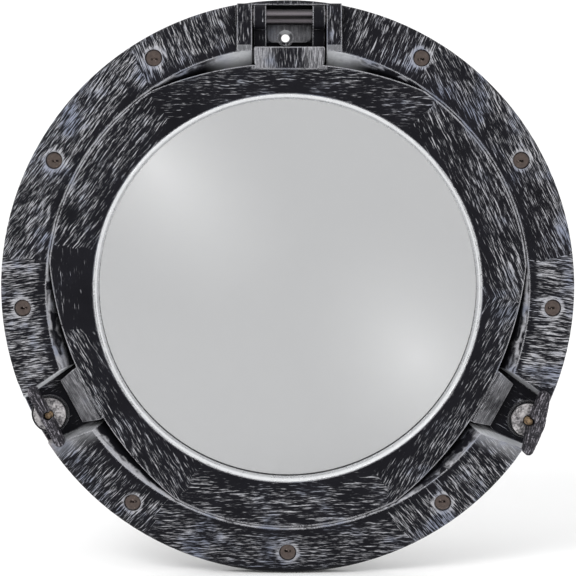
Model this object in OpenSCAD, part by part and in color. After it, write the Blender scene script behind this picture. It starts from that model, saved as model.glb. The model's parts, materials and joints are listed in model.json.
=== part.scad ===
// Round ship's window: a cast frame ring for a wall, and a top-hung door ring with the glass,
// held shut by two swing bolts with wing nuts.
// Everything is drawn in a face frame (X right, Y up, Z out of the wall) and stood upright at the end,
// so that +Z is up, the face looks along -Y, and the origin is the ring's centre on the wall plane.

/* [Overall] */
// Radius of the clear view through the glass
glass_r = 167.6; // [140:0.2:201]
// Width of the door ring, from the view to its outer edge
door_w = 44.9; // [42:0.1:54]
// Width of the frame's flange, from the door to the rim
flange_w = 41; // [38:0.5:50]
// Height of the flange face over the wall, at its inner edge
face_h = 26; // [24:0.5:32]
// Length of the neck that goes through the wall
neck_len = 40; // [25:1:60]

/* [Frame casting] */
// Thickness of the casting's skin
skin_t = 6; // [4:0.5:7]
// Wall of the neck
neck_t = 6; // [4:0.5:8]
// How far the flange face falls from its inner edge to the rim
face_fall = 6; // [3:0.5:8]
// Radius of the rounded rim
rim_round = 6; // [3:0.5:8]
// Width of the rim's foot on the wall
rim_foot = 8; // [6:0.5:10]
// Height of the seat and of the pocket floors over the wall
floor_h = 8; // [7:0.5:9]
// Width of the flat seat that the door's seal meets
seat_w = 10; // [9:0.5:12]
// Width of the conical wall around the door, seen from the front
cone_w = 15; // [12:0.5:18]

/* [Rivets and hanging hole] */
// Distance from the rim to the circle of rivets and bolts
bolt_inset = 19.4; // [18:0.2:21]
// Radius of a rivet's domed head
rivet_r = 7.3; // [5:0.1:8]
// Height of the dome
dome_h = 3.8; // [2:0.1:5]
// Radius of a rivet's shank
shank_r = 3; // [2:0.1:4]
// Radius of the hanging hole
hang_r = 3.7; // [2.5:0.1:4.5]
// Radius of the hanging hole's countersink
sink_r = 6.7; // [5:0.1:7.2]

/* [Door] */
// Height of the door's face over the wall, beside the glass
dish_h = 17.5; // [16:0.5:20]
// Width of the polished bead round the glass
bead_w = 4.4; // [3:0.1:6]
// Thickness of the glass
glass_t = 6; // [4:0.5:12]
// How far the glass reaches under the door's lip
glass_lap = 6; // [4.5:0.5:8]
// Wall of the door's spigot around the glass
spigot_t = 7; // [6:0.5:9]
// How far the outline is drawn in beside the hinge and the lugs
crescent_w = 14; // [8:0.5:16]
// Number of screws in the ring behind the glass
screw_count = 12; // [6:1:16]

/* [Hinge] */
// Distance of the hinge from the centre line
hinge_x = 1.5; // [-4:0.5:4]
// Radius of the hinge pin
pin_r = 7.1; // [5:0.1:8]
// Radius of the door's knuckles
knuckle_r = 10.2; // [9.5:0.1:10.5]
// Half the width across the door's knuckles
knuckle_x = 31; // [28:0.5:36]
// Width of one knuckle
knuckle_w = 10.7; // [8:0.1:13]
// Width of one ear of the frame
ear_w = 13; // [9:0.5:16]
// Distance of the pin's axis from the rim
pin_inset = 15.3; // [15:0.1:17]

/* [Dogs] */
// Angle of the left swing bolt round the ring
left_a = 207.6; // [204:0.2:212]
// Angle of the right swing bolt round the ring
right_a = 331.5; // [328:0.5:336]
// How far the left bolt leans out
left_lean = 6; // [5:0.5:20]
// How far the right bolt leans out
right_lean = 15; // [5:0.5:30]
// How far the right wing nut is turned from the tangent
right_turn = 13; // [0:1:30]
// Distance of the left wing nut's bar from its thread
left_bar = 2; // [0:0.5:8]
// Distance of the right wing nut's bar from its thread
right_bar = 6.5; // [0:0.5:8]
// Half the width of the left bar's middle
left_mid = 4.6; // [4:0.1:8]
// Half the width of the right bar's middle
right_mid = 7.4; // [4:0.1:9]
// Half the width of a lug's lip
lug_w = 21.5; // [18:0.5:24]
// Radius of the washer
washer_r = 17; // [14:0.5:17.5]
// Radius of a wing nut's disc
nut_r = 14.5; // [12:0.5:15]
// Half the length of a wing nut's bar
bar_len = 29.5; // [25:0.5:34]
// Radius of the bolt's thread
stud_r = 3.6; // [3:0.1:4.2]

/* [Hidden] */
$fn = 96;

CASTING = [0.22, 0.22, 0.24];
POLISHED = [0.75, 0.76, 0.78];
DARK_METAL = [0.16, 0.13, 0.12];
BRASS = [0.62, 0.47, 0.24];
RUBBER = [0.07, 0.07, 0.07];

// Clearances
seat_gap = 0.5;    // between the door's edge and the conical wall
swing_gap = 1.5;   // round the spigot, which dips as the door opens
run_gap = 0.08;    // a knuckle or an eye on its pin
fit_gap = 0.05;    // a fixed pin, rivet or screw in its hole
loose_gap = 0.3;   // between pieces that only lie near each other
side_gap = 1;      // beside an arm, an eye or a lug
over = 1;          // what a cut reaches past a face

// Rings of the door, from the glass outwards
door_r = glass_r + door_w;
pane_r = glass_r + glass_lap;
gasket_t = 1.2;
rebate_r = pane_r + gasket_t + loose_gap / 3;
spigot_r = rebate_r + spigot_t;
bead_r = glass_r + bead_w;

// Rings of the frame
seat_r = door_r + seat_gap;
frame_r = seat_r + flange_w;
bore_r = spigot_r + swing_gap;
neck_r = bore_r + neck_t;
tenon_r = neck_r - 2;
tenon_t = 4;        // how deep the end of the neck's sleeve sits in the back of the ring
relief_t = 0.3;     // how far the ring's back stands clear of the sleeve's shoulder
foot_r = max(bore_r + seat_w, seat_r - cone_w);
bolt_r = frame_r - bolt_inset;
rim_h = face_h - face_fall;
face_slope = atan(face_fall / (flange_w - rim_round));

// Heights of the door, over the wall
lip_t = 3;
lip_h = floor_h + lip_t;
seal_h = 3;
door_back = floor_h + loose_gap + 1.3;
pane_front = floor_h - gasket_t;
pane_back = pane_front - glass_t;
spigot_end = pane_back - gasket_t;
ring_t = 5;
screw_r = 2;
screw_in = 7;
screw_circle = rebate_r + spigot_t / 2 + 0.2;

// The seal's groove in the back of the door
groove_in = bore_r + 1.8;
groove_out = groove_in + seat_w - 4.6;

// Hinge
pin_y = frame_r - pin_inset;
boss_foot = door_r - crescent_w - 4.8;
pin_h = face_h - 6;
ear_x = knuckle_x + side_gap + 0.6;
ear_r = 12;
boss_top = face_h + 0.5;
arm_top = pin_h - 3;
strip_y = pin_y + knuckle_r + 0.6;
pad_x = knuckle_x - knuckle_w - side_gap / 2;
hang_x = -2;
hang_y = pin_y - 17.5;
hang_rim = sink_r + 0.8;

// Dogs
pivot_h = floor_h - 1.8;
pivot_r = 2.5;
eye_r = 5.6;
eye_w = 10;
cheek_t = 6;
lug_tip = bolt_r - washer_r - 0.8;
lug_flare = 7.5;
pocket_w = lug_w + side_gap;
washer_t = 2.5;
washer_s = 18;      // from the pivot to the washer's underside
disc_s = washer_s + washer_t;
disc_t = 4;
bar_s = disc_s + disc_t;
bar_t = 9.5;
stud_s = bar_s + 6;

// Rivets: four on each side between the hinge and the dogs, and one at the foot
rivet_angles = [29, 60, 120, 151, 184, 234, 270, 306, 356];

// Height of the flange face at radius r
function face_at(r) = face_h - face_fall * (r - seat_r) / (flange_w - rim_round);

// Radius of the conical wall at height h, and of its underside
cone_run = seat_r - foot_r;
cone_rise = face_h - floor_h;
cone_len = norm([cone_run, cone_rise]);
function cone_at(h) = foot_r + (h - floor_h) * cone_run / cone_rise;
function under_cone(h) =
    foot_r + skin_t * cone_rise / cone_len
    + (h - floor_h + skin_t * cone_run / cone_len) * cone_run / cone_rise;

// Points of an arc, from angle a to angle b
function arc(centre, r, a, b, steps) =
    [for (i = [0:steps]) centre + r * [cos(a + (b - a) * i / steps), sin(a + (b - a) * i / steps)]];

// ---- Placing ----

module upright() {
    rotate([90, 0, 0]) children();
}

module on_hinge() {
    translate([hinge_x, pin_y, pin_h]) rotate([0, 90, 0]) children();
}

// A side view (Y along the wall, Z out of it) drawn in 2D, w wide and centred on x
module side_plate(x, w) {
    translate([x - w / 2, 0, 0])
        rotate([90, 0, 90])
            linear_extrude(w) children();
}

module at_rivet(a) {
    rotate([0, 0, a])
        translate([bolt_r, 0, face_at(bolt_r)])
            rotate([0, face_slope, 0]) children();
}

// The swing bolt's own frame: origin on its pivot, Z along the thread, X outwards
module on_bolt(a, lean) {
    rotate([0, 0, a])
        translate([bolt_r, 0, pivot_h])
            rotate([0, lean, 0]) children();
}

// A bar along the tangent, through the pivot
module across(r, w) {
    rotate([90, 0, 0])
        cylinder(r = r, h = w, center = true);
}

// ---- Frame ring ----

module frame_section() {
    polygon(concat(
        [[bore_r, floor_h], [bore_r, tenon_t + fit_gap], [tenon_r + fit_gap, tenon_t + fit_gap],
         [tenon_r + fit_gap, relief_t], [neck_r + fit_gap, relief_t], [neck_r + fit_gap, 0], [frame_r, 0]],
        arc([frame_r - rim_round, rim_h - rim_round], rim_round, 0, 90 - face_slope, 8),
        [[seat_r, face_h], [foot_r, floor_h]]
    ));
}

module hollow_section() {
    rim_in = frame_r - rim_foot;
    polygon([
        [under_cone(floor_h), -over], [under_cone(floor_h), floor_h],
        [under_cone(face_h - skin_t), face_h - skin_t],
        [rim_in, face_at(rim_in) - skin_t], [rim_in, -over]
    ]);
}

// Plan of a dog's pocket: it flares towards the door, grown by more on every side
module pocket_plan(more) {
    polygon([
        [bore_r - 2 * more, pocket_w + lug_flare + more],
        [lug_tip, pocket_w + more],
        [frame_r + 2 * over + more, pocket_w - 1 + more],
        [frame_r + 2 * over + more, -pocket_w + 1 - more],
        [lug_tip, -pocket_w - more],
        [bore_r - 2 * more, -pocket_w - lug_flare - more]
    ]);
}

module pocket_cut() {
    draft = 4;
    hull() {
        translate([0, 0, floor_h]) linear_extrude(0.01) pocket_plan(0);
        translate([0, 0, face_h + over]) linear_extrude(0.01) pocket_plan(draft);
    }
}

// Solid metal left inside the hollow, under a pocket
module pocket_block() {
    linear_extrude(face_h) intersection() {
        pocket_plan(skin_t + 1);
        translate([bore_r, -frame_r]) square([frame_r, 2 * frame_r]);
    }
}

module hinge_block() {
    half = ear_x + ear_w + 3;
    translate([hinge_x - half, bore_r, -over])
        cube([2 * half, frame_r - bore_r, face_h + over]);
}

module frame_hollow() {
    difference() {
        rotate_extrude($fn = 180) hollow_section();
        for (a = [left_a, right_a]) rotate([0, 0, a]) pocket_block();
        hinge_block();
        for (a = rivet_angles) rotate([0, 0, a])
            translate([bolt_r, 0, -over]) cylinder(r = rivet_r, h = face_h + over);
    }
}

// The ears' side view: a rounded head on the pin and a foot that reaches the door's edge
module ear_side() {
    foot_y = seat_r - 3.8;
    translate([pin_y, pin_h]) circle(r = ear_r);
    polygon([
        [foot_y, floor_h / 2], [foot_y, face_h + 1], [foot_y + 5, face_h + 3.5],
        [pin_y + 1.5, pin_h + ear_r - 0.4], [pin_y + 8, pin_h + 6], [pin_y + 9, floor_h / 2]
    ]);
}

// The pad between the door's arms, with the hanging hole's boss
module hang_pad() {
    corner = 5;
    foot_y = pin_y - 21.5;
    pad_top = pin_h - pin_r - 0.5;
    translate([0, 0, floor_h - over]) linear_extrude(pad_top - floor_h + over) {
        translate([hinge_x, 0]) polygon([
            [-pad_x, strip_y + over], [-pad_x, foot_y + corner],
            [-pad_x + corner * 0.3, foot_y + corner * 0.3], [-pad_x + corner, foot_y],
            [pad_x - corner, foot_y], [pad_x - corner * 0.3, foot_y + corner * 0.3],
            [pad_x, foot_y + corner], [pad_x, strip_y + over]
        ]);
        translate([hang_x, hang_y]) circle(r = hang_rim);
    }
}

module hang_cut() {
    pad_top = pin_h - pin_r - 0.5;
    depth = sink_r - hang_r;
    translate([hang_x, hang_y, -over]) cylinder(r = hang_r, h = pad_top + 2 * over);
    translate([hang_x, hang_y, pad_top - depth])
        cylinder(r1 = hang_r, r2 = sink_r + 0.01, h = depth + 0.01);
}

// Two cheeks carry each swing bolt's pivot
module cheeks() {
    gap = eye_w + side_gap;
    difference() {
        union() {
            across(eye_r, gap + 2 * cheek_t);
            translate([-eye_r, -gap / 2 - cheek_t, floor_h / 2 - pivot_h])
                cube([2 * eye_r, gap + 2 * cheek_t, pivot_h - floor_h / 2]);
        }
        across(eye_r + over, gap);
    }
}

module pivot_cut() {
    gap = eye_w + side_gap;
    slot = 2 * eye_r + 2.4;
    translate([-slot / 2, -gap / 2, -pivot_h - over]) cube([slot + 30, gap, 2 * pivot_h]);
    across(pivot_r + fit_gap, gap + 2 * cheek_t + 2 * over);
}

module frame_ring() {
    color(CASTING) upright() difference() {
        union() {
            difference() {
                rotate_extrude($fn = 180) frame_section();
                frame_hollow();
                for (a = [left_a, right_a]) rotate([0, 0, a]) pocket_cut();
                translate([hinge_x - ear_x, bore_r - over, floor_h])
                    cube([2 * ear_x, strip_y - bore_r + over, face_h]);
                for (a = rivet_angles) at_rivet(a) {
                    translate([0, 0, -1]) cylinder(r = rivet_r + loose_gap, h = 4);
                    translate([0, 0, -face_at(bolt_r) + 4]) cylinder(r = shank_r + fit_gap, h = face_h);
                }
            }
            for (side = [-1, 1]) side_plate(hinge_x + side * (ear_x + ear_w / 2), ear_w) ear_side();
            hang_pad();
            for (a = [left_a, right_a]) on_bolt(a, 0) cheeks();
        }
        hang_cut();
        on_hinge() cylinder(r = pin_r + fit_gap, h = 2 * (ear_x + ear_w + over), center = true);
        for (a = [left_a, right_a]) on_bolt(a, 0) pivot_cut();
    }
}

// The neck is a plain sleeve with a thinner end let into the back of the ring
module neck_sleeve() {
    color(CASTING) upright() rotate_extrude($fn = 180) polygon([
        [bore_r, -neck_len], [bore_r, tenon_t], [tenon_r, tenon_t], [tenon_r, -fit_gap],
        [neck_r, -fit_gap], [neck_r, -neck_len]
    ]);
}

// Domed rivets in shallow seats round the flange
module dome_rivets() {
    ball_r = (rivet_r * rivet_r + dome_h * dome_h) / (2 * dome_h);
    color(DARK_METAL) upright() for (a = rivet_angles) at_rivet(a) {
        translate([0, 0, -1]) intersection() {
            translate([0, 0, dome_h - ball_r]) sphere(r = ball_r, $fn = 64);
            cylinder(r = rivet_r + over, h = dome_h + over);
        }
        translate([0, 0, -face_at(bolt_r) + 4.5]) cylinder(r = shank_r, h = face_at(bolt_r) - 5.5);
    }
}

module hinge_pin() {
    color(DARK_METAL) upright() on_hinge()
        cylinder(r = pin_r, h = 2 * (ear_x + ear_w) - 0.4, center = true);
}

// ---- Door ----

module door_section() {
    edge_h = face_h - 1;
    slack = seat_gap * cone_len / cone_rise;
    polygon([
        [glass_r + 0.5, floor_h], [glass_r + 0.5, lip_h], [bead_r + fit_gap, lip_h],
        [bead_r + fit_gap, dish_h], [cone_at(edge_h) - slack, edge_h],
        [cone_at(door_back) - slack, door_back], [spigot_r, door_back],
        [spigot_r, spigot_end], [rebate_r, spigot_end], [rebate_r, floor_h]
    ]);
}

module seal_groove() {
    translate([0, 0, floor_h]) difference() {
        cylinder(r = groove_out, h = door_back + seal_h - floor_h, $fn = 180);
        translate([0, 0, -over]) cylinder(r = groove_in, h = door_back + 2 * seal_h, $fn = 180);
    }
}

// The outline is drawn in to a flatter arc beside the hinge and beside each lug
module drawn_in() {
    near = door_r - crescent_w;
    shift = (door_r * door_r - near * near) / (2 * (near - door_r * cos(36)));
    for (a = [90, left_a, right_a]) difference() {
        rotate([0, 0, a]) translate([door_r / 2, -door_r, -neck_len])
            cube([door_r, 2 * door_r, neck_len + face_h + over]);
        rotate([0, 0, a]) translate([-shift, 0, -neck_len - over])
            cylinder(r = near + shift, h = neck_len + face_h + 3 * over, $fn = 240);
    }
}

// A lug is a ramp that falls from the door's face to a lip under the washer
module dog_lug() {
    root_r = spigot_r + 5;
    crest_r = door_r - 11;
    crest_h = face_h - 3;
    lip_top = floor_h + 6;
    under = floor_h + side_gap;
    hull() {
        for (side = [-1, 1]) {
            translate([root_r, side * (lug_w + lug_flare - 3), under])
                cylinder(r = 0.5, h = dish_h - under, $fn = 16);
            translate([crest_r, side * (lug_w + lug_flare - 4.5), under])
                cylinder(r = 0.5, h = crest_h - under, $fn = 16);
            translate([lug_tip - 1, side * (lug_w - 1), under])
                cylinder(r = 1, h = lip_top - under, $fn = 16);
        }
    }
}

// The raised boss that carries the door's two arms
module hinge_boss() {
    corner = 8;
    head_y = hang_y - hang_rim - side_gap;
    hull() {
        for (side = [-1, 1]) {
            translate([hinge_x + side * (knuckle_x - corner), boss_foot + corner, door_back])
                cylinder(r = corner, h = face_h - 3 - door_back, $fn = 32);
            translate([hinge_x + side * (knuckle_x - 1.5), head_y - 1.5, door_back])
                cylinder(r = 1.5, h = boss_top - door_back, $fn = 16);
        }
    }
}

module arm_side() {
    root_y = boss_foot + 5;
    translate([pin_y, pin_h]) circle(r = knuckle_r);
    polygon([
        [root_y, door_back], [root_y, arm_top], [pin_y - 6, arm_top],
        [pin_y, pin_h], [pin_y - 3, door_back + 0.4]
    ]);
}

module door_ring() {
    color(CASTING) upright() difference() {
        union() {
            difference() {
                rotate_extrude($fn = 180) door_section();
                difference() {
                    drawn_in();
                    translate([0, 0, -neck_len - 2 * over])
                        cylinder(r = spigot_r + 1, h = 2 * neck_len + 2 * face_h);
                }
            }
            for (a = [left_a, right_a]) rotate([0, 0, a]) dog_lug();
            hinge_boss();
            for (side = [-1, 1])
                side_plate(hinge_x + side * (knuckle_x - knuckle_w / 2), knuckle_w) arm_side();
        }
        seal_groove();
        on_hinge() cylinder(r = pin_r + run_gap, h = 2 * knuckle_x + 2 * over, center = true);
        ring_screw_places() translate([0, 0, -screw_in - 0.5])
            cylinder(r = screw_r + fit_gap, h = 2 * screw_in, $fn = 32);
    }
}

// The polished bead slopes from the door's face down to the glass
module glazing_bead() {
    color(POLISHED) upright() rotate_extrude($fn = 180) polygon([
        [glass_r, lip_h + fit_gap], [glass_r, lip_h + 0.8], [bead_r - 1.2, dish_h - 0.2],
        [bead_r, dish_h], [bead_r, lip_h + fit_gap]
    ]);
}

module glass_pane() {
    color([0.8, 0.82, 0.82, 0.4]) upright() translate([0, 0, pane_back])
        cylinder(r = pane_r, h = glass_t, $fn = 180);
}

// A rubber channel wraps the edge of the glass
module glass_gasket() {
    in_r = glass_r + 1.5;
    out_r = pane_r + gasket_t;
    color(RUBBER) upright() rotate_extrude($fn = 180) polygon([
        [in_r, pane_front], [in_r, floor_h], [out_r, floor_h], [out_r, spigot_end], [in_r, spigot_end],
        [in_r, pane_back], [pane_r, pane_back], [pane_r, pane_front]
    ]);
}

module ring_screw_places() {
    for (i = [0:screw_count - 1]) rotate([0, 0, (i + 0.5) * 360 / screw_count])
        translate([screw_circle, 0, spigot_end]) mirror([0, 0, 1]) children();
}

// Clamps the glass from behind, screwed to the end of the door's spigot
module retaining_ring() {
    color(CASTING) upright() difference() {
        translate([0, 0, spigot_end - ring_t]) difference() {
            cylinder(r = spigot_r - loose_gap, h = ring_t, $fn = 180);
            translate([0, 0, -over]) cylinder(r = glass_r + 1, h = ring_t + 2 * over, $fn = 180);
        }
        ring_screw_places() {
            translate([0, 0, -over]) cylinder(r = screw_r + 2 * fit_gap, h = ring_t + 2 * over, $fn = 32);
            translate([0, 0, ring_t - screw_r])
                cylinder(r1 = screw_r, r2 = 2 * screw_r, h = screw_r, $fn = 32);
        }
    }
}

module retaining_screws() {
    color(POLISHED) upright() ring_screw_places() {
        translate([0, 0, -screw_in]) cylinder(r = screw_r, h = ring_t + screw_in - screw_r, $fn = 32);
        translate([0, 0, ring_t - screw_r - 0.001]) difference() {
            cylinder(r1 = screw_r, r2 = 2 * screw_r - fit_gap, h = screw_r, $fn = 32);
            translate([-screw_r * 2, -0.4, screw_r / 2]) cube([screw_r * 4, 0.8, screw_r]);
        }
    }
}

// The seal lies in a groove in the back of the door and meets the frame's flat seat
module door_seal() {
    color(RUBBER) upright() translate([0, 0, floor_h + loose_gap]) difference() {
        cylinder(r = groove_out - loose_gap / 3, h = door_back + seal_h - floor_h - loose_gap, $fn = 180);
        translate([0, 0, -over])
            cylinder(r = groove_in + loose_gap / 3, h = 2 * seal_h + 2 * over, $fn = 180);
    }
}

// ---- Dogs ----

module dog_bolt(a, lean) {
    color(BRASS) upright() on_bolt(a, lean) difference() {
        union() {
            across(eye_r, eye_w);
            cylinder(r = stud_r, h = stud_s);
        }
        across(pivot_r + run_gap, eye_w + 2 * over);
    }
}

module dog_pin(a) {
    color(DARK_METAL) upright() on_bolt(a, 0)
        across(pivot_r, eye_w + side_gap + 2 * cheek_t - 0.4);
}

module dog_washer(a, lean) {
    color(DARK_METAL) upright() on_bolt(a, lean) translate([0, 0, washer_s]) difference() {
        cylinder(r = washer_r, h = washer_t);
        translate([0, 0, -over]) cylinder(r = stud_r + run_gap, h = washer_t + 2 * over);
    }
}

// A disc with a bar whose middle stands beside the thread, on its outer side
module wing_nut(a, lean, turn, bar_off, mid_r) {
    tip_r = 4.8;
    color(CASTING) upright() on_bolt(a, lean) rotate([0, 0, turn]) difference() {
        union() {
            translate([0, 0, disc_s + fit_gap]) cylinder(r = nut_r, h = disc_t - fit_gap);
            translate([bar_off, 0, bar_s - 0.5]) hull() {
                cylinder(r = mid_r, h = bar_t + 0.5, $fn = 32);
                for (side = [-1, 1]) translate([0, side * (bar_len - tip_r), 0.5])
                    cylinder(r = tip_r, h = bar_t - 1.5, $fn = 32);
            }
        }
        translate([0, 0, disc_s - over]) cylinder(r = stud_r + run_gap, h = bar_t + disc_t + 3 * over);
    }
}

module dog_bolt_left() { dog_bolt(left_a, left_lean); }
module dog_pin_left() { dog_pin(left_a); }
module dog_washer_left() { dog_washer(left_a, left_lean); }
module wing_nut_left() { wing_nut(left_a, left_lean, 0, left_bar, left_mid); }
module dog_bolt_right() { dog_bolt(right_a, right_lean); }
module dog_pin_right() { dog_pin(right_a); }
module dog_washer_right() { dog_washer(right_a, right_lean); }
module wing_nut_right() { wing_nut(right_a, right_lean, right_turn, right_bar, right_mid); }

frame_ring();
neck_sleeve();
dome_rivets();
hinge_pin();
door_ring();
glazing_bead();
glass_pane();
glass_gasket();
retaining_ring();
retaining_screws();
door_seal();
dog_bolt_left();
dog_pin_left();
dog_washer_left();
wing_nut_left();
dog_bolt_right();
dog_pin_right();
dog_washer_right();
wing_nut_right();
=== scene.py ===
import json
import math
import bmesh
import bpy
from mathutils import Matrix, Vector
from types import SimpleNamespace


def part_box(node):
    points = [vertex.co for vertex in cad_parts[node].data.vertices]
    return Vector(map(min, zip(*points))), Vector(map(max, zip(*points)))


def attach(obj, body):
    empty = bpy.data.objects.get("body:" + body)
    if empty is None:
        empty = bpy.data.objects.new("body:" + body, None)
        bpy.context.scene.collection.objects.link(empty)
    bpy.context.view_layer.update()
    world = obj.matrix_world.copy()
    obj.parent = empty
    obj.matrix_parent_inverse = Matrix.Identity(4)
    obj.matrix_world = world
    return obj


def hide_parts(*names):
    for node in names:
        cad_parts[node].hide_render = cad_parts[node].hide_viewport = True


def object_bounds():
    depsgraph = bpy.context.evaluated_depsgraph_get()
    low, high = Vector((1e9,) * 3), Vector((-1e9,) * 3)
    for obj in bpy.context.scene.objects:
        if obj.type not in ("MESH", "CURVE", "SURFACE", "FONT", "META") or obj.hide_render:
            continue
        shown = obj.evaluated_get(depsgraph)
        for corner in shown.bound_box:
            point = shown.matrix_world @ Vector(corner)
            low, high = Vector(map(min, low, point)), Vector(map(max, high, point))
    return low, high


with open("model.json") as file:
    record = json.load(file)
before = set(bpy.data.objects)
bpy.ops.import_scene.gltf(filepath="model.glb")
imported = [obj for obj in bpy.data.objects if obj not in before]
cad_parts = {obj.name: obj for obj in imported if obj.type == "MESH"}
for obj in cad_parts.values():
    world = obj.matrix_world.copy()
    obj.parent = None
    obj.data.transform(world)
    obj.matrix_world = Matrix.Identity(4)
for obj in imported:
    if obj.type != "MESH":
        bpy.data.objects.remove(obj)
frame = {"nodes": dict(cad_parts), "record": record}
cad_low, cad_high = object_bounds()

# --- Studio ---
# A pale floor that sweeps up behind the ring, a white room, and two large soft lamps.
# The camera stands almost square in front of the glass, a little above its middle.
# A grey curtain and two small soft cards stand where only polished surfaces mirror them.

RIM_R = (cad_high.x - cad_low.x) / 2
HALF_VIEW = RIM_R * 1.006
SENSOR_W = 36
CAMERA_FAR = 1.75
CAMERA_RISE = math.radians(4.0)
CAMERA_AIM = Vector((0.0003, -0.012, 0.0007))
FLOOR_Z = cad_low.z - 0.0003
FLOOR_HALF_W = 3.5
FLOOR_FRONT_Y = -3.2
FLOOR_BACK_Y = 0.6
SWEEP_R = 2.2
WALL_ABOVE_SWEEP = 1.6


def stand_camera():
    data = bpy.data.cameras.new("camera")
    data.sensor_width = SENSOR_W
    data.lens = SENSOR_W / 2 * CAMERA_FAR / HALF_VIEW
    camera = bpy.data.objects.new("camera", data)
    back = Vector((0, -math.cos(CAMERA_RISE), math.sin(CAMERA_RISE)))
    camera.location = CAMERA_AIM + back * CAMERA_FAR
    camera.rotation_euler = (-back).to_track_quat("-Z", "Y").to_euler()
    bpy.context.scene.collection.objects.link(camera)
    bpy.context.scene.camera = camera


def hang_lamp(name, place, size, power):
    data = bpy.data.lights.new(name, "AREA")
    data.shape = "RECTANGLE"
    data.size, data.size_y = size
    data.energy = power
    lamp = bpy.data.objects.new(name, data)
    lamp.location = place
    lamp.rotation_euler = (-Vector(place)).to_track_quat("-Z", "Y").to_euler()
    lamp.visible_glossy = False
    bpy.context.scene.collection.objects.link(lamp)


def light_room(strength):
    world = bpy.data.worlds.new("white_room")
    world.use_nodes = True
    air = world.node_tree.nodes["Background"]
    air.inputs["Color"].default_value = (1, 1, 1, 1)
    air.inputs["Strength"].default_value = strength
    bpy.context.scene.world = world


def set_stage(name, bm):
    mesh = bpy.data.meshes.new(name)
    bm.to_mesh(mesh)
    bm.free()
    item = bpy.data.objects.new(name, mesh)
    bpy.context.scene.collection.objects.link(item)
    return item


def sweep_floor():
    bm = bmesh.new()
    ends = [bm.verts.new((x, FLOOR_FRONT_Y, FLOOR_Z)) for x in (-FLOOR_HALF_W, FLOOR_HALF_W)]
    line = [bm.edges.new(ends)]

    def pull(edges, step):
        made = bmesh.ops.extrude_edge_only(bm, edges=edges)["geom"]
        moved = [g for g in made if isinstance(g, bmesh.types.BMVert)]
        bmesh.ops.translate(bm, vec=step, verts=moved)
        return [g for g in made if isinstance(g, bmesh.types.BMEdge) and all(v in moved for v in g.verts)]

    line = pull(line, (0, FLOOR_BACK_Y - FLOOR_FRONT_Y, 0))
    turned = bmesh.ops.spin(bm, geom=line, cent=(0, FLOOR_BACK_Y, FLOOR_Z + SWEEP_R), axis=(1, 0, 0),
                            angle=math.pi / 2, steps=48)["geom_last"]
    pull([g for g in turned if isinstance(g, bmesh.types.BMEdge)], (0, 0, WALL_ABOVE_SWEEP))
    for face in bm.faces:
        face.smooth = True
    floor = set_stage("floor", bm)
    floor.visible_glossy = False
    paint = bpy.data.materials.new("floor_paint")
    paint.use_nodes = True
    shader = paint.node_tree.nodes["Principled BSDF"]
    shader.inputs["Base Color"].default_value = (0.9, 0.9, 0.9, 1)
    shader.inputs["Roughness"].default_value = 0.8
    shader.inputs["Specular IOR Level"].default_value = 0.1
    floor.data.materials.append(paint)


def mirror_card(name, place, size, strength, soft):
    """A card that only polished surfaces see; its light fades towards its rim if it is soft."""
    half_w, half_h, turn = size
    bm = bmesh.new()
    bmesh.ops.create_grid(bm, x_segments=1, y_segments=1, size=1.0)
    bmesh.ops.scale(bm, vec=(half_w, half_h, 1), verts=bm.verts)
    bmesh.ops.rotate(bm, cent=(0, 0, 0), matrix=Matrix.Rotation(math.pi / 2, 3, "X"), verts=bm.verts)
    bmesh.ops.rotate(bm, cent=(0, 0, 0), matrix=Matrix.Rotation(turn, 3, "Y"), verts=bm.verts)
    bmesh.ops.translate(bm, vec=place, verts=bm.verts)
    card = set_stage(name, bm)
    card.visible_camera = False
    card.visible_diffuse = False
    card.visible_transmission = False
    card.visible_shadow = False
    glow = bpy.data.materials.new(name)
    glow.use_nodes = True
    tree = glow.node_tree
    tree.nodes.clear()
    out = tree.nodes.new("ShaderNodeOutputMaterial")
    lit = tree.nodes.new("ShaderNodeEmission")
    lit.inputs["Strength"].default_value = strength
    if soft:
        clear = tree.nodes.new("ShaderNodeBsdfTransparent")
        fade = tree.nodes.new("ShaderNodeMixShader")
        coords = tree.nodes.new("ShaderNodeTexCoord")
        local = tree.nodes.new("ShaderNodeMapping")
        local.vector_type = "TEXTURE"
        local.inputs["Location"].default_value = place
        local.inputs["Rotation"].default_value = (0, turn, 0)
        local.inputs["Scale"].default_value = (half_w, 1, half_h)
        ball = tree.nodes.new("ShaderNodeTexGradient")
        ball.gradient_type = "QUADRATIC_SPHERE"
        tree.links.new(coords.outputs["Object"], local.inputs[0])
        tree.links.new(local.outputs[0], ball.inputs[0])
        tree.links.new(ball.outputs["Fac"], fade.inputs[0])
        tree.links.new(clear.outputs[0], fade.inputs[1])
        tree.links.new(lit.outputs[0], fade.inputs[2])
        tree.links.new(fade.outputs[0], out.inputs[0])
    else:
        tree.links.new(lit.outputs[0], out.inputs[0])
    card.data.materials.append(glow)


bpy.context.scene.view_settings.view_transform = "Standard"
stand_camera()
light_room(1.06)
hang_lamp("key_lamp", (-1.0, -1.9, 1.5), (1.2, 1.0), 34)
hang_lamp("fill_lamp", (1.6, -1.5, 0.5), (0.9, 1.2), 10)
sweep_floor()
mirror_card("curtain", (0, -2.7, -0.07), (2.2, 0.65, 0), 0.035, False)
mirror_card("soft_card_left", (-0.175, -0.9, 0.10), (0.15, 0.28, math.radians(-42)), 6.0, True)
mirror_card("soft_card_right", (0.175, -0.9, -0.155), (0.16, 0.22, math.radians(-35)), 5.0, True)

# --- Frame ring ---
# One sand-cast alloy ring: flange, hinge ears, swing-bolt pockets, and the pad with the hanging hole.
# It is painted black and dry-brushed with silver in short straight patches, each with its own direction.
# Edges, pocket walls and the rims round the rivets are rubbed through to bright metal.

nodes = frame["nodes"]
joints = {j["name"]: j for j in frame["record"]["behaviour"]["joints"]}

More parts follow.
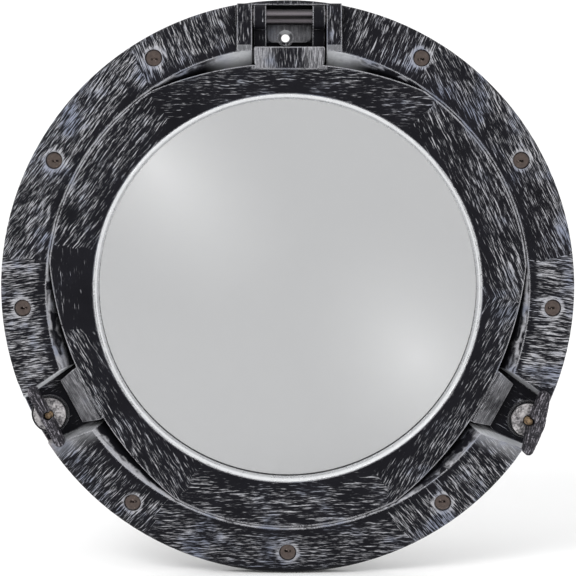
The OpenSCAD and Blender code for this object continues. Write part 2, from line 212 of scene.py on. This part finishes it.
RIVET_CIRCLE_R = 0.2346
RIVET_SEAT_Y = -0.0222
RIVET_ANGLES = [29, 60, 120, 151, 184, 234, 270, 306, 356]
HANG_HOLE = (-0.002, -0.012, 0.2212)
# Each patch: where it ends and its brush direction, both in degrees, and its share of silver
FLANGE_PATCHES = [
    (-158, 7, 0.52), (-146, 30, 0.30), (-120.6, 47, 0.42), (-65, 0, 0.46), (-36, 130, 0.50), (-22, 151, 0.30),
    (6, 172, 0.55), (57, 116, 0.42), (78.6, 68, 0.46), (101, 90, 0.36), (123, 112, 0.48), (172, 53, 0.50),
    (180, 7, 0.52),
]


class Finish:
    """A finish in the making: short ways to add and join its shader nodes."""

    def __init__(self, name):
        self.paint = bpy.data.materials.new(name)
        self.paint.use_nodes = True
        self.tree = self.paint.node_tree
        self.shader = self.tree.nodes["Principled BSDF"]

    def node(self, kind, **values):
        made = self.tree.nodes.new(kind)
        for key, value in values.items():
            setattr(made, key, value)
        return made

    def join(self, source, target):
        if isinstance(source, bpy.types.NodeSocket):
            self.tree.links.new(source, target)
        else:
            target.default_value = source

    def math(self, kind, *inputs, clamp=False):
        made = self.node("ShaderNodeMath", operation=kind, use_clamp=clamp)
        for i, value in enumerate(inputs):
            self.join(value, made.inputs[i])
        return made.outputs[0]

    def fold(self, kind, values):
        total = values[0]
        for value in values[1:]:
            total = self.math(kind, total, value)
        return total

    def sum(self, *terms):
        return self.fold("ADD", terms)

    def times(self, *factors):
        return self.fold("MULTIPLY", factors)

    def most(self, values):
        return self.fold("MAXIMUM", values)

    def minus(self, first, second):
        return self.math("SUBTRACT", first, second)

    def vmath(self, kind, first, second=None, out="Value"):
        made = self.node("ShaderNodeVectorMath", operation=kind)
        self.join(first, made.inputs[0])
        if second is not None:
            self.join(second, made.inputs[1])
        return made.outputs[out]

    def blend(self, share, first, second):
        made = self.node("ShaderNodeMix", data_type="RGBA")
        self.join(share, made.inputs[0])
        self.join(first, made.inputs[6])
        self.join(second, made.inputs[7])
        return made.outputs[2]

    def step(self, value, low, high, out_low=0.0, out_high=1.0):
        made = self.node("ShaderNodeMapRange", interpolation_type="SMOOTHSTEP")
        for i, v in enumerate((value, low, high, out_low, out_high)):
            self.join(v, made.inputs[i])
        return made.outputs[0]

    def between(self, value, low, full_low, full_high, high):
        """0 outside low and high, and 1 from full_low to full_high."""
        return self.times(self.step(value, low, full_low), self.step(value, high, full_high))

    def grain(self, vector, scale, detail=2.0, rough=0.5):
        made = self.node("ShaderNodeTexNoise")
        self.join(vector, made.inputs["Vector"])
        made.inputs["Scale"].default_value = scale
        made.inputs["Detail"].default_value = detail
        made.inputs["Roughness"].default_value = rough
        return made.outputs["Fac"]

    def vector(self, x, y, z):
        made = self.node("ShaderNodeCombineXYZ")
        for i, value in enumerate((x, y, z)):
            self.join(value, made.inputs[i])
        return made.outputs[0]

    def split(self, vector):
        made = self.node("ShaderNodeSeparateXYZ")
        self.join(vector, made.inputs[0])
        return made.outputs[0], made.outputs[1], made.outputs[2]

    def coords(self, out="Object"):
        return self.node("ShaderNodeTexCoord").outputs[out]

    def near(self, where, spot, inner, outer):
        """1 within the inner distance of a spot, falling to 0 at the outer one."""
        return self.step(self.vmath("DISTANCE", where, spot), outer, inner)

    def edges(self, radius, samples=6):
        """The normal rounded over edges, and how far it leaves the true one."""
        rounded = self.node("ShaderNodeBevel", samples=samples)
        rounded.inputs["Radius"].default_value = radius
        true = self.node("ShaderNodeNewGeometry").outputs["Normal"]
        return rounded.outputs[0], self.vmath("DOT_PRODUCT", rounded.outputs[0], true)

    def corners(self, distance):
        """1 on open faces, towards 0 in corners and narrow gaps."""
        made = self.node("ShaderNodeAmbientOcclusion", samples=6)
        made.inputs["Distance"].default_value = distance
        return made.outputs["AO"]

    def bump(self, height, strength, distance, normal=None):
        made = self.node("ShaderNodeBump")
        made.inputs["Strength"].default_value = strength
        made.inputs["Distance"].default_value = distance
        self.join(height, made.inputs["Height"])
        if normal is not None:
            self.join(normal, made.inputs["Normal"])
        return made.outputs[0]

    def done(self, **sockets):
        for name, value in sockets.items():
            self.join(value, self.shader.inputs[name.replace("_", " ")])
        return self.paint


def patch_at(f, angle, patches):
    """Brush direction (as a share of a turn), share of silver, and a seed for the patch at this angle."""
    ramp = f.node("ShaderNodeValToRGB")
    ramp.color_ramp.interpolation = "CONSTANT"
    stops = ramp.color_ramp.elements
    start = 0.0
    for i, (end, direction, share) in enumerate(patches):
        stop = stops[i] if i < 2 else stops.new(start)
        stop.position = start
        stop.color = (direction / 360, share, (i * 0.37) % 1, 1)
        start = (end + 180) / 360
    f.join(f.math("DIVIDE", f.sum(angle, 180), 360), ramp.inputs[0])
    parts = f.node("ShaderNodeSeparateColor")
    f.join(ramp.outputs[0], parts.inputs[0])
    return parts.outputs[0], parts.outputs[1], parts.outputs[2]


def beside_dogs(f, where):
    """For each swing bolt: how far out along its radius a place lies, and how far up to the side of it."""
    found = []
    for side in ("left", "right"):
        pivot = joints["dog_swing_" + side]["pos_m"]
        out = Vector((pivot[0], 0, pivot[2])).normalized()
        up = Vector((-out.z, 0, out.x)) * math.copysign(1, out.x)
        found.append((f.vmath("DOT_PRODUCT", where, tuple(out)), f.vmath("DOT_PRODUCT", where, tuple(up))))
    return found


def brushed_casting(name, patches, regions, tint):
    """Black paint under dry-brushed silver. regions and tint add what one ring alone has."""
    f = Finish(name)
    where = f.coords()
    x, y, z = f.split(where)
    nx, ny, nz = f.split(f.coords("Normal"))
    radius = f.math("SQRT", f.sum(f.times(x, x), f.times(z, z)))
    angle = f.math("DEGREES", f.math("ARCTAN2", z, x))
    faces_out = f.math("DIVIDE", f.sum(f.times(nx, x), f.times(nz, z)), radius)
    at = SimpleNamespace(where=where, x=x, z=z, ny=ny, radius=radius, angle=angle, faces_out=faces_out)
    wander = f.times(f.minus(f.grain(where, 60.0, 3.0), 0.5), 6.0)
    direction, share, seed = patch_at(f, f.sum(angle, wander), patches)
    more, satin, pale, upright = regions(f, at)
    # A wall that faces the middle is brushed straight out from it
    on_wall = f.math("LESS_THAN", faces_out, -0.45)
    turn = f.times(direction, 2 * math.pi)
    turn = f.sum(turn, f.times(upright, f.minus(math.pi / 2, turn)))
    outward = f.math("RADIANS", angle)
    way = f.sum(turn, f.times(on_wall, f.minus(outward, turn)))
    c, s = f.math("COSINE", way), f.math("SINE", way)
    along = f.sum(f.times(x, c), f.times(z, s))
    sway = f.times(f.minus(f.grain(where, 55.0, 2.0), 0.5), 0.0026)
    across = f.sum(f.minus(f.times(z, c), f.times(x, s)), sway)
    drift = f.sum(f.times(y, 60.0), f.times(seed, 31.0))
    broad = f.grain(f.vector(f.times(along, 62.0), f.times(across, 760.0), drift), 1.0, 3.0, 0.62)
    fine = f.grain(f.vector(f.times(along, 110.0), f.times(across, 1500.0), drift), 1.0, 2.0, 0.6)
    cloud = f.grain(where, 34.0, 3.0, 0.6)
    speck = f.grain(where, 900.0, 2.0, 0.6)
    streak = f.sum(f.times(broad, 0.5), f.times(fine, 0.5))
    room = f.corners(0.014)
    lift = f.sum(f.times(f.minus(share, 0.5), 0.30), f.times(f.minus(cloud, 0.5), 0.16),
                 f.times(f.minus(room, 1.0), 0.16), more)
    silver = f.step(f.sum(streak, lift), 0.492, 0.612)
    even = f.sum(0.42, f.times(f.minus(f.sum(streak, cloud), 1.0), 1.5))
    silver = f.sum(silver, f.times(satin, f.minus(even, silver)))
    rounded, flat = f.edges(0.0019)
    rub = f.math("MULTIPLY", f.step(flat, 0.996, 0.93), f.step(f.sum(cloud, speck), 0.70, 0.98), clamp=True)
    rub = f.times(rub, f.step(room, 0.35, 0.75))
    worn = f.math("MAXIMUM", silver, rub, clamp=True)
    black = f.blend(cloud, (0.0030, 0.0030, 0.0042, 1), (0.010, 0.010, 0.0135, 1))
    grey = f.blend(speck, (0.15, 0.15, 0.162, 1), (0.58, 0.58, 0.61, 1))
    colour = f.blend(worn, black, tint(f, at, grey, cloud))
    # Painted shade: the colour is darkened to near-black in corners and narrow gaps, less so on the satin
    # regions.
    painted_shade = f.math("MAXIMUM", f.step(room, 0.15, 0.8), f.times(satin, 0.7))
    colour = f.blend(painted_shade, (0.003, 0.003, 0.004, 1), colour)
    bleach = f.times(pale, f.step(streak, 0.32, 0.55, 0.7, 1.0))
    colour = f.blend(bleach, colour, (0.80, 0.82, 0.85, 1))
    height = f.sum(streak, f.times(speck, 0.25))
    return f.done(Base_Color=colour, Metallic=f.times(worn, 0.25),
                  Roughness=f.step(worn, 0.0, 1.0, 0.62, 0.42), Specular_IOR_Level=0.08,
                  Normal=f.bump(height, 0.5, 0.0005, rounded))


def flange_regions(f, at):
    """Halos round the rivets, a dark inner edge, pale pocket walls, bluish crescents beside the ears, and a
    painted highlight on the flange just below each pocket's lower wall.
    """
    halos = []
    for degrees in RIVET_ANGLES:
        a = math.radians(degrees)
        spot = (RIVET_CIRCLE_R * math.cos(a), RIVET_SEAT_Y, RIVET_CIRCLE_R * math.sin(a))
        halos.append(f.near(at.where, spot, 0.0088, 0.0122))
    rim_of_hole = f.near(at.where, HANG_HOLE, 0.0068, 0.0085)
    wall = f.step(at.faces_out, -0.3, -0.7)
    inner_edge = f.between(at.radius, 0.2125, 0.2145, 0.2155, 0.2225)
    right_rim = f.times(f.step(at.radius, 0.236, 0.245), f.between(at.angle, 6, 14, 44, 54))
    more = f.sum(f.times(wall, 0.06), f.times(f.most(halos), 0.09), f.times(rim_of_hole, 0.12),
                 f.times(inner_edge, -0.07), f.times(right_rim, 0.035))
    from_top = f.math("ABSOLUTE", f.minus(at.angle, 90))
    crescents = f.times(wall, f.step(from_top, 21, 12))
    pad = f.times(f.step(f.math("ABSOLUTE", at.x), 0.025, 0.023),
                  f.between(at.z, 0.2165, 0.2175, 0.2385, 0.2400))
    steep = f.step(f.math("ABSOLUTE", at.ny), 0.6, 0.4)
    upper_walls, lower_walls, painted_highlight_strips = [], [], []
    for reach, aside in beside_dogs(f, at.where):
        at_dog = f.times(f.step(reach, 0.199, 0.203), steep)
        upper_walls.append(f.times(at_dog, f.between(aside, 0.018, 0.020, 0.035, 0.037)))
        lower_walls.append(f.times(at_dog, f.between(aside, -0.037, -0.035, -0.020, -0.018)))
        # Painted highlight: a smooth, lighter strip on the flange just below the pocket's lower wall,
        # standing in for light on the rounded edge there.
        painted_highlight_strips.append(f.times(f.step(reach, 0.205, 0.212),
                                   f.between(aside, -0.044, -0.028, -0.026, -0.023)))
    walls = f.most(upper_walls + lower_walls)
    # The painted highlight below both pockets; it is made satin and a little pale.
    under = f.most(painted_highlight_strips)
    satin = f.most([crescents, walls, f.times(pad, 0.75), f.times(under, 0.8)])
    pale = f.most([upper_walls[0], f.times(lower_walls[0], 0.25),
                   f.times(upper_walls[1], 0.35), f.times(lower_walls[1], 0.6),
                   f.times(crescents, 0.42), f.times(under, 0.10)])
    return more, satin, pale, 0.0


def flange_tint(f, at, grey, cloud):
    """A cold cast on the silver, and a rust-brown breath on the left pocket's lower wall."""
    cold = f.blend(f.step(cloud, 0.45, 0.7), grey, (0.21, 0.228, 0.29, 1))
    rust = f.near(at.where, (-0.224, -0.012, -0.145), 0.004, 0.024)
    return f.blend(f.times(rust, 0.8), cold, (0.36, 0.24, 0.20, 1))


def dress(node, paint):
    nodes[node].data.materials.clear()
    nodes[node].data.materials.append(paint)


dress("frame_ring", brushed_casting("brushed_flange", FLANGE_PATCHES, flange_regions, flange_tint))

# --- Door ring ---
# The same casting and paint as the frame: a dished ring with the two hinge knuckles, the raised boss
# below them, and a ramp-shaped lug at each swing bolt. It is brushed in its own, larger patches.

hinge = Vector(joints["door_hinge"]["pos_m"])
DOOR_PATCHES = [
    (-170, 92, 0.20), (-118, 120, 0.40), (-65, 0, 0.40), (-3, 60, 0.40), (51, 114, 0.42), (125, 0, 0.36),
    (168, 53, 0.42), (180, 92, 0.16),
]


def door_regions(f, at):
    """The boss is brushed upright, paler at its ends; the lugs are even grey; the dish is darker inwards."""
    off_middle = f.math("ABSOLUTE", f.minus(at.x, hinge.x))
    boss = f.times(f.step(at.z, 0.1925, 0.1945), f.step(off_middle, 0.034, 0.032))
    arms = f.times(boss, f.step(at.z, 0.2130, 0.2136))
    ends = f.times(f.minus(boss, arms), f.step(off_middle, 0.008, 0.024))
    lugs = [f.times(f.step(reach, 0.1985, 0.2035), f.step(f.math("ABSOLUTE", aside), 0.030, 0.027))
            for reach, aside in beside_dogs(f, at.where)]
    dish = f.step(at.radius, 0.188, 0.174)
    more = f.sum(f.times(ends, 0.09), f.times(arms, -0.03), f.times(dish, -0.05))
    satin = f.most([f.times(f.most(lugs), 0.75), f.times(ends, 0.55)])
    return more, satin, 0.0, boss


def door_tint(f, at, grey, cloud):
    """The same cold cast, a little weaker; there is no rust on the door."""
    return f.blend(f.step(cloud, 0.5, 0.75), grey, (0.21, 0.228, 0.28, 1))


dress("door_ring", brushed_casting("brushed_door", DOOR_PATCHES, door_regions, door_tint))

# --- Glazing bead ---
# A narrow half-round ring of polished alloy, turned in one piece.
# It is pressed into the door's dish and lies on the lip in front of the glass.

GLASS_VIEW_R = 0.1676
BEAD_OUTER_R = 0.172
BEAD_EDGE = 0.14
LIP_Y = -0.0111
DISH_Y = -0.0175
TOUCHING = 1e-6


def spun(profile, centre, axis, steps, closed=True):
    """A piece turned on the lathe: profile holds (distance from the axis, place along it)."""
    bm = bmesh.new()
    points = [bm.verts.new((r, 0, s)) for r, s in profile]
    pairs = list(zip(points, points[1:]))
    if closed:
        pairs.append((points[-1], points[0]))
    edges = [bm.edges.new(p) for p in pairs]
    bmesh.ops.spin(bm, geom=points + edges, cent=(0, 0, 0), axis=(0, 0, 1), angle=2 * math.pi,
                   steps=steps, use_merge=True)
    bmesh.ops.remove_doubles(bm, verts=bm.verts, dist=TOUCHING)
    bmesh.ops.recalc_face_normals(bm, faces=bm.faces)
    turn = Vector((0, 0, 1)).rotation_difference(Vector(axis)).to_matrix()
    bmesh.ops.rotate(bm, cent=(0, 0, 0), matrix=turn, verts=bm.verts)
    bmesh.ops.translate(bm, vec=centre, verts=bm.verts)
    return bm


def finished(name, bm, paint, body, replaced, sharp=35):
    """Makes the piece in place of a plain one, smooths what is round on it, and fixes it to its body."""
    mesh = bpy.data.meshes.new(name)
    bm.to_mesh(mesh)
    bm.free()
    mesh.shade_smooth()
    mesh.set_sharp_from_angle(angle=math.radians(sharp))
    mesh.materials.append(paint)
    piece = bpy.data.objects.new(name, mesh)
    bpy.context.scene.collection.objects.link(piece)
    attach(piece, body)
    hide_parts(replaced)
    return piece


def polished_alloy():
    f = Finish("polished_bead")
    where = f.coords()
    haze = f.grain(where, 90.0, 3.0, 0.6)
    scratch = f.grain(where, 1500.0, 2.0, 0.6)
    return f.done(Base_Color=f.blend(haze, (0.62, 0.63, 0.65, 1), (0.86, 0.87, 0.88, 1)), Metallic=0.9,
                  Roughness=f.step(haze, 0.3, 0.7, 0.20, 0.38), Normal=f.bump(scratch, 0.12, 0.0001))


def bead_profile():
    """Straight for the first share of its height, then a quarter round up to the dish."""
    rise = LIP_Y - DISH_Y
    run = BEAD_OUTER_R - GLASS_VIEW_R
    crown = [(GLASS_VIEW_R + run * (1 - math.cos(t)), rise * (BEAD_EDGE + (1 - BEAD_EDGE) * math.sin(t)))
             for t in [math.pi / 2 * i / 8 for i in range(9)]]
    return [(BEAD_OUTER_R, 0.0), (GLASS_VIEW_R, 0.0)] + crown


finished("glazing_bead_round", spun(bead_profile(), (0, LIP_Y, 0), (0, -1, 0), 200), polished_alloy(),
         "door", "glazing_bead")

# --- Glass ---
# A flat pane of clear glass, 6 mm thick, with a slight smoke tint.
# Its edge sits in the rubber channel, behind the door's lip.


def clear_glass():
    f = Finish("clear_glass")
    return f.done(Base_Color=(0.49, 0.494, 0.50, 1), Roughness=0.0, Transmission_Weight=1.0, IOR=1.46)


dress("glass_pane", clear_glass())

# --- Rubber: the channel round the glass and the seal behind the door ---
# Extruded black rubber with a matt, slightly dusty skin.
# The channel grips the edge of the glass, and the seal lies between the door and the frame's seat.


def black_rubber():
    f = Finish("black_rubber")
    where = f.coords()
    dust = f.grain(where, 140.0, 4.0, 0.6)
    pores = f.grain(where, 1400.0, 2.0)
    colour = f.blend(f.step(dust, 0.45, 0.8), (0.012, 0.012, 0.012, 1), (0.045, 0.044, 0.042, 1))
    return f.done(Base_Color=colour, Roughness=f.step(dust, 0.3, 0.7, 0.62, 0.82),
                  Normal=f.bump(pores, 0.2, 0.0002))


for node in ("glass_gasket", "door_seal"):
    dress(node, black_rubber())

# --- Back of the window: the neck's sleeve and the ring that holds the glass, with its screws ---
# Plain turned alloy under satin black paint, scuffed where the wall and the tools have touched it.
# The screws are plated steel, countersunk and slotted.


def satin_black(name, worn_share):
    f = Finish(name)
    where = f.coords()
    cloud = f.grain(where, 42.0, 4.0, 0.65)
    scuff = f.grain(where, 420.0, 3.0, 0.7)
    rounded, flat = f.edges(0.0008, 4)
    rub = f.times(f.step(flat, 0.995, 0.93), f.step(f.sum(cloud, scuff), 0.8, 1.1))
    worn = f.most([rub, f.times(f.step(f.sum(cloud, scuff), 1.22, 1.32), worn_share)])
    black = f.blend(cloud, (0.008, 0.008, 0.010, 1), (0.024, 0.024, 0.028, 1))
    return f.done(Base_Color=f.blend(worn, black, (0.34, 0.34, 0.36, 1)),
                  Metallic=f.times(worn, 0.6), Roughness=f.step(cloud, 0.3, 0.7, 0.42, 0.60),
                  Specular_IOR_Level=0.35, Normal=f.bump(scuff, 0.25, 0.0003, rounded))


def plated_steel():
    f = Finish("plated_steel")
    where = f.coords()
    haze = f.grain(where, 500.0, 3.0, 0.6)
    return f.done(Base_Color=f.blend(haze, (0.36, 0.36, 0.36, 1), (0.66, 0.66, 0.65, 1)), Metallic=1.0,
                  Roughness=f.step(haze, 0.3, 0.7, 0.25, 0.45), Normal=f.bump(haze, 0.15, 0.0002))


dress("neck_sleeve", satin_black("satin_black_sleeve", 0.7))
dress("retaining_ring", satin_black("satin_black_ring", 0.4))
dress("retaining_screws", plated_steel())

# --- Hinge pin ---
# A smooth bar of blackened steel with rounded ends, with two lighter bands of painted reflection along it.
# It is fixed in the frame's two ears, and the door's knuckles turn on it.


def blackened_steel_painted_bands(name, axle, radius):
    """Blackened steel with two lighter bands of painted reflection along the bar, one above and one below its
    axis.
    """
    f = Finish(name)
    where = f.coords()
    x, y, z = f.split(where)
    drawn = f.grain(f.vector(f.times(x, 40.0), f.times(y, 900.0), f.times(z, 900.0)), 1.0, 3.0, 0.6)
    film = f.grain(where, 120.0, 3.0)
    height = f.math("DIVIDE", f.minus(z, axle.z), radius)
    # Painted reflection: a lighter band above the axis and a fainter one below it, broken up by the drawn
    # grain.
    upper = f.between(height, 0.02, 0.34, 0.42, 0.82)
    lower = f.between(height, -0.90, -0.62, -0.42, -0.24)
    painted_reflection_bands = f.sum(upper, f.times(lower, 0.55))
    dark = f.blend(film, (0.010, 0.009, 0.010, 1), (0.022, 0.020, 0.022, 1))
    # Painted reflection: the two bands lighten the steel where the drawn grain lets them.
    rubbed = f.times(painted_reflection_bands, f.step(drawn, 0.1, 0.6, 0.6, 1.0))
    colour = f.blend(rubbed, dark, (0.17, 0.155, 0.168, 1))
    return f.done(Base_Color=colour, Metallic=0.85,
                  Roughness=f.step(drawn, 0.35, 0.7, 0.22, 0.36), Normal=f.bump(drawn, 0.12, 0.0002))


def bar_profile(radius, length, ease):
    half = length / 2
    turned = [(radius - ease * (1 - math.sin(t)), half - ease * (1 - math.cos(t)))
              for t in [math.pi / 2 * i / 4 for i in range(5)]]
    return [(0, half)] + turned + [(r, -s) for r, s in reversed(turned)] + [(0, -half)]


pin_low, pin_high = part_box("hinge_pin")
pin_r = (pin_high.z - pin_low.z) / 2
pin_bar = spun(bar_profile(pin_r, pin_high.x - pin_low.x, 0.0011), hinge, (1, 0, 0), 64, closed=False)
finished("hinge_pin_bar", pin_bar, blackened_steel_painted_bands("blackened_pin", hinge, pin_r),
         "frame", "hinge_pin")

# --- Domed rivets ---
# Nine smooth heads of dark bronze, each with a thin foot, in a shallow seat of its own in the flange.
# The shank runs back into the casting and holds the rivet.

DOME_R = 0.0073
DOME_H = 0.0038
FOOT_T = 0.0009
SHANK_R = 0.003
SHANK_LENGTH = 0.016
FLANGE_INNER_R = 0.213
FLANGE_INNER_Y = -0.026
# The flange falls back 6 mm over 35 mm on its way out to the rim
FLANGE_TILT = math.atan2(6, 35)


def dark_bronze():
    f = Finish("dark_bronze")
    where = f.coords()
    film = f.grain(where, 320.0, 3.0, 0.6)
    dents = f.grain(where, 260.0, 1.0)
    return f.done(Base_Color=f.blend(film, (0.045, 0.038, 0.037, 1), (0.15, 0.118, 0.103, 1)), Metallic=1.0,
                  Roughness=f.step(film, 0.3, 0.75, 0.10, 0.30), Normal=f.bump(dents, 0.08, 0.0005))


def rivet_profile():
    ball = (DOME_R ** 2 + DOME_H ** 2) / (2 * DOME_H)
    top = math.asin(DOME_R / ball)
    dome = [(ball * math.sin(t), DOME_H - ball * (1 - math.cos(t)))
            for t in [top * i / 10 for i in range(10)]]
    return dome + [(DOME_R - 0.0002, 0.00025), (DOME_R, 0.0), (DOME_R, -FOOT_T), (SHANK_R, -FOOT_T),
                   (SHANK_R, -SHANK_LENGTH), (0, -SHANK_LENGTH)]


def joined(first, second):
    scratch = bpy.data.meshes.new("joined")
    second.to_mesh(scratch)
    second.free()
    first.from_mesh(scratch)
    bpy.data.meshes.remove(scratch)
    return first


rivets = bmesh.new()
seat_y = FLANGE_INNER_Y + (RIVET_CIRCLE_R - FLANGE_INNER_R) * math.tan(FLANGE_TILT)
for degrees in RIVET_ANGLES:
    out = Vector((math.cos(math.radians(degrees)), 0, math.sin(math.radians(degrees))))
    axis = (Vector((0, -1, 0)) * math.cos(FLANGE_TILT) + out * math.sin(FLANGE_TILT)).normalized()
    seat = out * RIVET_CIRCLE_R + Vector((0, seat_y, 0))
    joined(rivets, spun(rivet_profile(), seat, axis, 40, closed=False))
finished("dome_rivet_heads", rivets, dark_bronze(), "frame", "dome_rivets")

# --- Swing bolts, washers and wing nuts ---
# Each dog is an eye bolt of aged brass on a steel pin, a black washer with rubbed edges, and a cast wing nut:
# a pitted disc with a rough bar across it. The nut spins up the thread, and the bolt swings out of the lug.

# Heights are measured along the bolt from its pivot
STUD_R = 0.0036
STUD_FOOT = 0.004
THREAD_START = 0.0075
STUD_TIP = 0.0305
EYE_BORE_R = 0.0026
EYE_R = 0.0056
EYE_HALF_W = 0.005
DOG_PIN_R = 0.0025
WASHER_R = 0.017
WASHER_FOOT = 0.018
WASHER_T = 0.0025
THREAD_PITCH = 0.0015
NUT_DISC_T = 0.004
NUT_CELL = 0.00055
# How far each nut's bar stands turned about its bolt, in degrees
NUT_TURNED = {"left": 0, "right": 13}


def aged_brass():
    f = Finish("aged_brass")
    where = f.coords()
    film = f.grain(where, 380.0, 4.0, 0.65)
    # The brass is darkened to dark brown in corners and narrow gaps.
    darker_in_corners = f.step(f.corners(0.003), 0.4, 0.9)
    brass = f.blend(f.step(film, 0.35, 0.7), (0.10, 0.066, 0.040, 1), (0.40, 0.285, 0.175, 1))
    return f.done(Base_Color=f.blend(darker_in_corners, (0.03, 0.022, 0.012, 1), brass), Metallic=0.75,
                  Roughness=f.step(film, 0.3, 0.7, 0.36, 0.58), Normal=f.bump(film, 0.3, 0.0003))


def rubbed_washer(name):
    f = Finish(name)
    where = f.coords()
    cloud = f.grain(where, 230.0, 3.0, 0.6)
    rounded, flat = f.edges(0.00035)
    worn = f.times(f.step(flat, 0.97, 0.88), f.step(cloud, 0.34, 0.52))
    black = f.blend(cloud, (0.004, 0.004, 0.005, 1), (0.014, 0.014, 0.017, 1))
    return f.done(Base_Color=f.blend(worn, black, (0.46, 0.46, 0.47, 1)),
                  Metallic=f.times(worn, 0.7), Roughness=0.45,
                  Specular_IOR_Level=0.25, Normal=f.bump(cloud, 0.2, 0.0003, rounded))


def pitted_casting(name, pivot, axis, bar_way, bar_foot):
    """Grey-violet metal; the disc is rubbed silver and pitted, the bar is scored along its length."""
    f = Finish(name)
    where = f.coords()
    centred = f.vmath("SUBTRACT", where, tuple(pivot), "Vector")
    height = f.vmath("DOT_PRODUCT", centred, tuple(axis))
    along = f.vmath("DOT_PRODUCT", centred, tuple(bar_way))
    side = f.vmath("DOT_PRODUCT", centred, tuple(axis.cross(bar_way)))
    score = f.grain(f.vector(f.times(along, 130.0), f.times(side, 900.0), f.times(height, 500.0)),
                    1.0, 3.0, 0.65)
    pits = f.grain(where, 520.0, 3.0, 0.7)
    broad = f.grain(where, 150.0, 2.0)
    on_disc = f.step(height, bar_foot + 0.0006, bar_foot - 0.0004)
    rounded, flat = f.edges(0.0012)
    edge = f.times(f.step(flat, 0.99, 0.93), 0.5)
    scored = f.step(f.sum(f.times(score, 0.6), f.times(pits, 0.4)), 0.50, 0.64)
    bare = f.math("ADD", scored, edge, clamp=True)
    bar = f.blend(bare, (0.016, 0.015, 0.019, 1), (0.27, 0.255, 0.285, 1))
    mottle = f.sum(f.times(pits, 0.6), f.times(broad, 0.4))
    disc = f.blend(f.step(mottle, 0.36, 0.60), (0.07, 0.067, 0.070, 1), (0.50, 0.48, 0.485, 1))
    # The colour is darkened to near-black in corners and narrow gaps.
    darker_in_corners = f.step(f.corners(0.006), 0.15, 0.85)
    colour = f.blend(darker_in_corners, (0.006, 0.006, 0.008, 1), f.blend(on_disc, bar, disc))
    height_map = f.sum(f.times(score, 0.5), pits, broad)
    return f.done(Base_Color=colour, Metallic=0.35, Roughness=f.step(pits, 0.3, 0.7, 0.55, 0.40),
                  Specular_IOR_Level=0.3, Normal=f.bump(height_map, 0.6, 0.0007, rounded))


def stud_profile():
    """The eye bolt's thread, turned ring by ring, with a small cone at its tip."""
    plain_r = STUD_R - 0.0004
    root_r = STUD_R - 0.0005
    tip_r = STUD_R - 0.0009
    points = [(0, STUD_FOOT), (plain_r, STUD_FOOT), (plain_r, THREAD_START)]
    turns = int((STUD_TIP - 0.001 - THREAD_START) / THREAD_PITCH)
    for i in range(turns):
        foot = THREAD_START + i * THREAD_PITCH
        points += [(STUD_R, foot + THREAD_PITCH * 0.4), (STUD_R, foot + THREAD_PITCH * 0.6),
                   (root_r, foot + THREAD_PITCH)]
    return points + [(tip_r, STUD_TIP), (0, STUD_TIP)]


def eye_profile():
    """The eye's ring: a plain bore and rim, with all four edges eased."""
    bore_ease, rim_ease = 0.0004, 0.0006
    upper = [(EYE_R, EYE_HALF_W - rim_ease), (EYE_R - rim_ease, EYE_HALF_W),
             (EYE_BORE_R + bore_ease, EYE_HALF_W), (EYE_BORE_R, EYE_HALF_W - bore_ease)]
    return [(r, -s) for r, s in reversed(upper)] + upper


def washer_profile():
    """A flat disc with eased edges, a low bead round its rim and a raised ring round its hole."""
    r, t = WASHER_R, WASHER_T
    return [(STUD_R + 0.0001, 0.0), (r - 0.0004, 0.0), (r, 0.0004), (r, t - 0.0006), (r - 0.0005, t - 0.0001),
            (r - 0.0014, t - 0.0001), (r - 0.0018, t - 0.0005), (STUD_R + 0.0014, t - 0.0005),
            (STUD_R + 0.0010, t), (STUD_R + 0.0001, t)]


def cast_nut(side, paint):
    """The nut's plain shape as a rough casting: rebuilt in small even cells, smoothed and roughened."""
    bm = bmesh.new()
    bm.from_mesh(nodes["wing_nut_" + side].data)
    bmesh.ops.remove_doubles(bm, verts=bm.verts, dist=TOUCHING)
    piece = finished("wing_nut_cast_" + side, bm, paint, "nut_" + side, "wing_nut_" + side,
                     180)
    cells = piece.modifiers.new("cells", "REMESH")
    cells.mode = "VOXEL"
    cells.voxel_size = NUT_CELL
    cells.use_smooth_shade = True
    ease = piece.modifiers.new("ease", "SMOOTH")
    ease.factor = 0.5
    ease.iterations = 9
    lumps = bpy.data.textures.new("nut_lumps_" + side, "CLOUDS")
    lumps.noise_scale = 0.006
    rough = piece.modifiers.new("rough", "DISPLACE")
    rough.texture = lumps
    rough.texture_coords = "LOCAL"
    rough.mid_level = 0.62
    rough.strength = 0.0009


for side in ("left", "right"):
    pivot = Vector(joints["dog_swing_" + side]["pos_m"])
    tangent = Vector(joints["dog_swing_" + side]["axis"])
    axis = Vector(joints["nut_spin_" + side]["axis"])
    bar_way = Matrix.Rotation(math.radians(NUT_TURNED[side]), 3, axis) @ tangent
    bolt = joined(spun(stud_profile(), pivot, axis, 40, closed=False),
                  spun(eye_profile(), pivot, tangent, 40))
    finished("eye_bolt_" + side, bolt, aged_brass(), "bolt_" + side, "dog_bolt_" + side, 30)
    dress("dog_pin_" + side, blackened_steel_painted_bands("blackened_dog_pin_" + side, pivot, DOG_PIN_R))
    finished("washer_rubbed_" + side, spun(washer_profile(), pivot + axis * WASHER_FOOT, axis, 80),
             rubbed_washer("rubbed_washer_" + side), "washer_" + side, "dog_washer_" + side,
             30)
    bar_foot = WASHER_FOOT + WASHER_T + NUT_DISC_T
    cast_nut(side, pitted_casting("pitted_nut_" + side, pivot, axis, bar_way, bar_foot))
